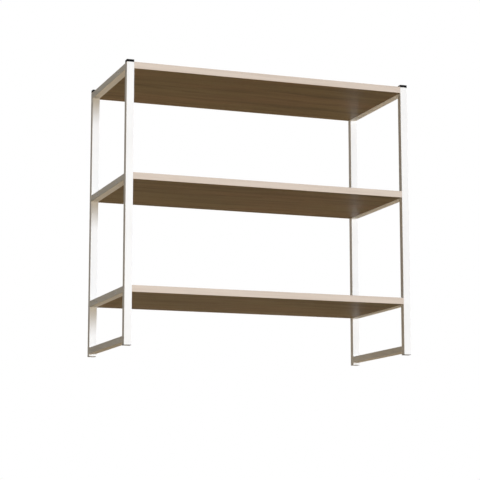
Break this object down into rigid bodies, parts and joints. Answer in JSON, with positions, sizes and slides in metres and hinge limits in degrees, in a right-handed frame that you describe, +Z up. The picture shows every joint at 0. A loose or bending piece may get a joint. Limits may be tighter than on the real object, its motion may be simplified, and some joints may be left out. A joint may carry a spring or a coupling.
{
  "type": "wall-mounted shelving unit",
  "caption": "Open wall shelving unit: white rectangular-tube ladder side frames with black end caps carry brown veneered boards with pale edges.",
  "frame": {"origin": "on the wall plane, in the middle of the four keyholes' entry holes", "axes": "+X along the boards to the right as seen from the front, +Y into the wall, +Z up"},
  "size_m": [0.8, 0.356, 0.7435],
  "materials": {
    "frame_paint": "white satin powder coat",
    "cap_plastic": "black fine-grained moulding",
    "foot_plastic": "pale grey fine-grained moulding",
    "board_core": "raw chipboard",
    "face_veneer": "brown veneer, satin lacquer",
    "edge_band": "pale wood edge band, satin lacquer",
    "bolt_coat": "white-coated steel",
    "insert_brass": "turned brass"
  },
  "bodies": {
    "root": {"left_front_upright": "frame_paint", "left_front_top_cap": "cap_plastic", "left_front_foot_plug": "foot_plastic", "left_rear_upright": "frame_paint", "left_rear_top_cap": "cap_plastic", "left_rear_foot_plug": "foot_plastic", "left_top_rail": "frame_paint", "left_middle_rail": "frame_paint", "left_lower_rail": "frame_paint", "left_foot_rail": "frame_paint", "right_front_upright": "frame_paint", "right_front_top_cap": "cap_plastic", "right_front_foot_plug": "foot_plastic", "right_rear_upright": "frame_paint", "right_rear_top_cap": "cap_plastic", "right_rear_foot_plug": "foot_plastic", "right_top_rail": "frame_paint", "right_middle_rail": "frame_paint", "right_lower_rail": "frame_paint", "right_foot_rail": "frame_paint", "top_shelf_core": "board_core", "top_shelf_upper_veneer": "face_veneer", "top_shelf_lower_veneer": "face_veneer", "top_shelf_front_edge": "edge_band", "top_shelf_rear_edge": "edge_band", "top_shelf_bolts": "bolt_coat", "top_shelf_inserts": "insert_brass", "middle_shelf_core": "board_core", "middle_shelf_upper_veneer": "face_veneer", "middle_shelf_lower_veneer": "face_veneer", "middle_shelf_front_edge": "edge_band", "middle_shelf_rear_edge": "edge_band", "middle_shelf_bolts": "bolt_coat", "middle_shelf_inserts": "insert_brass", "lower_shelf_core": "board_core", "lower_shelf_upper_veneer": "face_veneer", "lower_shelf_lower_veneer": "face_veneer", "lower_shelf_front_edge": "edge_band", "lower_shelf_rear_edge": "edge_band", "lower_shelf_bolts": "bolt_coat", "lower_shelf_inserts": "insert_brass"}
  },
  "joints": []
}
